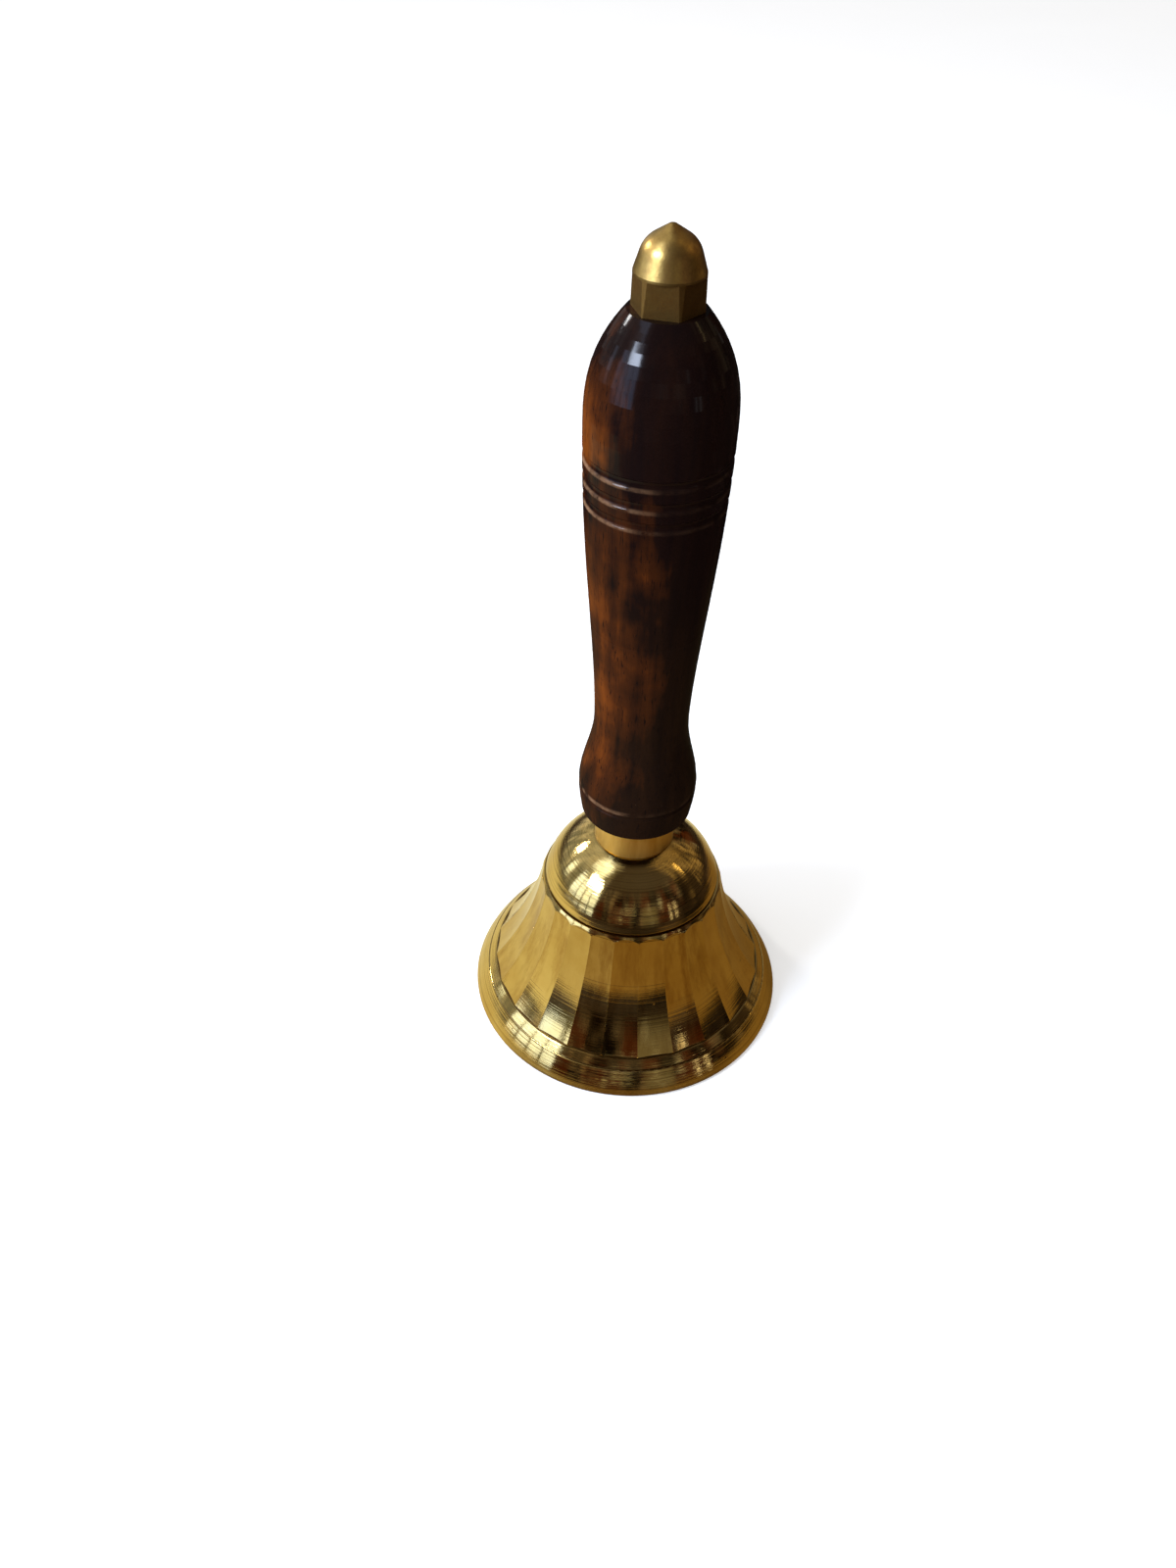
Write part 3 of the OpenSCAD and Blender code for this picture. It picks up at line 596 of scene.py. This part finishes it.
    # Light for everything else, from the left front
    brightest = (-0.734, -0.459, 0.5)
    towards = add(tree, "VectorMath", {0: direction, 1: brightest}, operation="DOT_PRODUCT")
    side = add(tree, "MapRange", {0: towards.outputs["Value"], 1: -0.5, 2: 1.0},
               interpolation_type="SMOOTHSTEP").outputs[0]
    soft = add(tree, "Mix", {0: side, 6: linear("#606060"), 7: linear("#eaeaea")},
               data_type="RGBA").outputs[2]

    colour = add(tree, "Mix", {0: mirror_rays(tree, path), 6: soft, 7: room}, data_type="RGBA").outputs[2]
    colour = add(tree, "Mix", {0: path["Is Camera Ray"], 6: colour, 7: (1, 1, 1, 1)},
                 data_type="RGBA").outputs[2]
    connect(tree, backdrop, {"Color": colour})
    backdrop.inputs["Strength"].default_value = 1.0


def softbox(name, bearing, lift, width, tall, watts, tint, distance=LAMP_DISTANCE):
    """A soft lamp aimed at the bell. Its bearing, in degrees, is 0 straight behind the bell and grows to the
    left. Its lift above level is in degrees too, and its width, height and distance are in metres."""
    lamp = bpy.data.lights.new(name, "AREA")
    lamp.shape = "RECTANGLE"
    lamp.size, lamp.size_y = width, tall
    lamp.energy = watts
    lamp.color = linear(tint)[:3]
    box = bpy.data.objects.new(name, lamp)
    bpy.context.scene.collection.objects.link(box)
    a, e = math.radians(bearing), math.radians(lift)
    out = Vector((-math.sin(a) * math.cos(e), math.cos(a) * math.cos(e), math.sin(e)))
    box.location = Vector((0, 0, LAMP_AIM_Z)) + out * distance
    box.rotation_mode = "QUATERNION"
    box.rotation_quaternion = (-out).to_track_quat("-Z", "Y")


def camera():
    """The photograph's viewpoint: 0.25 m up and 0.20 m in front, looking down at 43 degrees."""
    yaw, pitch, roll = math.radians(-3.115), math.radians(42.719), math.radians(1.577)
    ahead = Vector((math.sin(yaw) * math.cos(pitch), math.cos(yaw) * math.cos(pitch), -math.sin(pitch)))
    level = Vector((math.cos(yaw), -math.sin(yaw), 0))
    top = level.cross(ahead)
    right = math.cos(roll) * level + math.sin(roll) * top
    up = -math.sin(roll) * level + math.cos(roll) * top
    data = bpy.data.cameras.new("photo_view")
    # Focal length and height of the photograph in pixels, fitted to the circles of the bell
    focal_length, photo_height = 1250, 1600
    data.sensor_width = 36.0
    data.lens = focal_length / photo_height * data.sensor_width
    data.clip_start = 0.01
    view = bpy.data.objects.new("photo_view", data)
    bpy.context.scene.collection.objects.link(view)
    place = Vector((0, -0.2007, 0.2502))
    view.matrix_world = Matrix.Translation(place) @ Matrix((right, up, -ahead)).transposed().to_4x4()
    bpy.context.scene.camera = view


dress(polished_cast_brass(), "bell_body")
dress(satin_turned_brass(), "neck_collar")
dress(stained_lacquered_hardwood(), "handle")
dress(tarnished_pressed_brass(), "cap_nut")
dress(zinc_plated_steel(), "tie_rod", "crown_washer", "crown_nut")
dress(drawn_steel_wire(), "clapper_link", "clapper_shank")
dress(turned_iron(), "clapper_bob")

studio_floor()
studio_surround()
softbox("window_top", 123, 34, 0.36, 0.15, 12.0, "#d8e6ff")
low_panes = [(bearing, lift) for lift in (5, 15, 25) for bearing in (103, 113, 123, 133)]
for pane, (bearing, lift) in enumerate(low_panes):
    softbox(f"window_low_{pane}", bearing, lift, 0.16, 0.16, 0.33, "#b4ccff")
for pane, bearing in enumerate((94, 103, 112, 121)):
    softbox(f"window_high_{pane}", bearing, 56, 0.11, 0.42, 0.4, "#c4d8ff")
softbox("window_side", 81, 13, 0.12, 0.3, 0.35, "#c8dcff")
softbox("window_back", 61, 28, 0.16, 0.12, 3.6, "#ffffff", distance=1.2)
softbox("door_right", -84, 36, 0.04, 0.25, 0.14, "#ffdc96")
for bearing in (-122, -129):
    softbox(f"strip_right_{-bearing}", bearing, 4, 0.03, 0.2, 0.035, "#ffffff")
camera()
bpy.context.scene.view_settings.view_transform = "Standard"
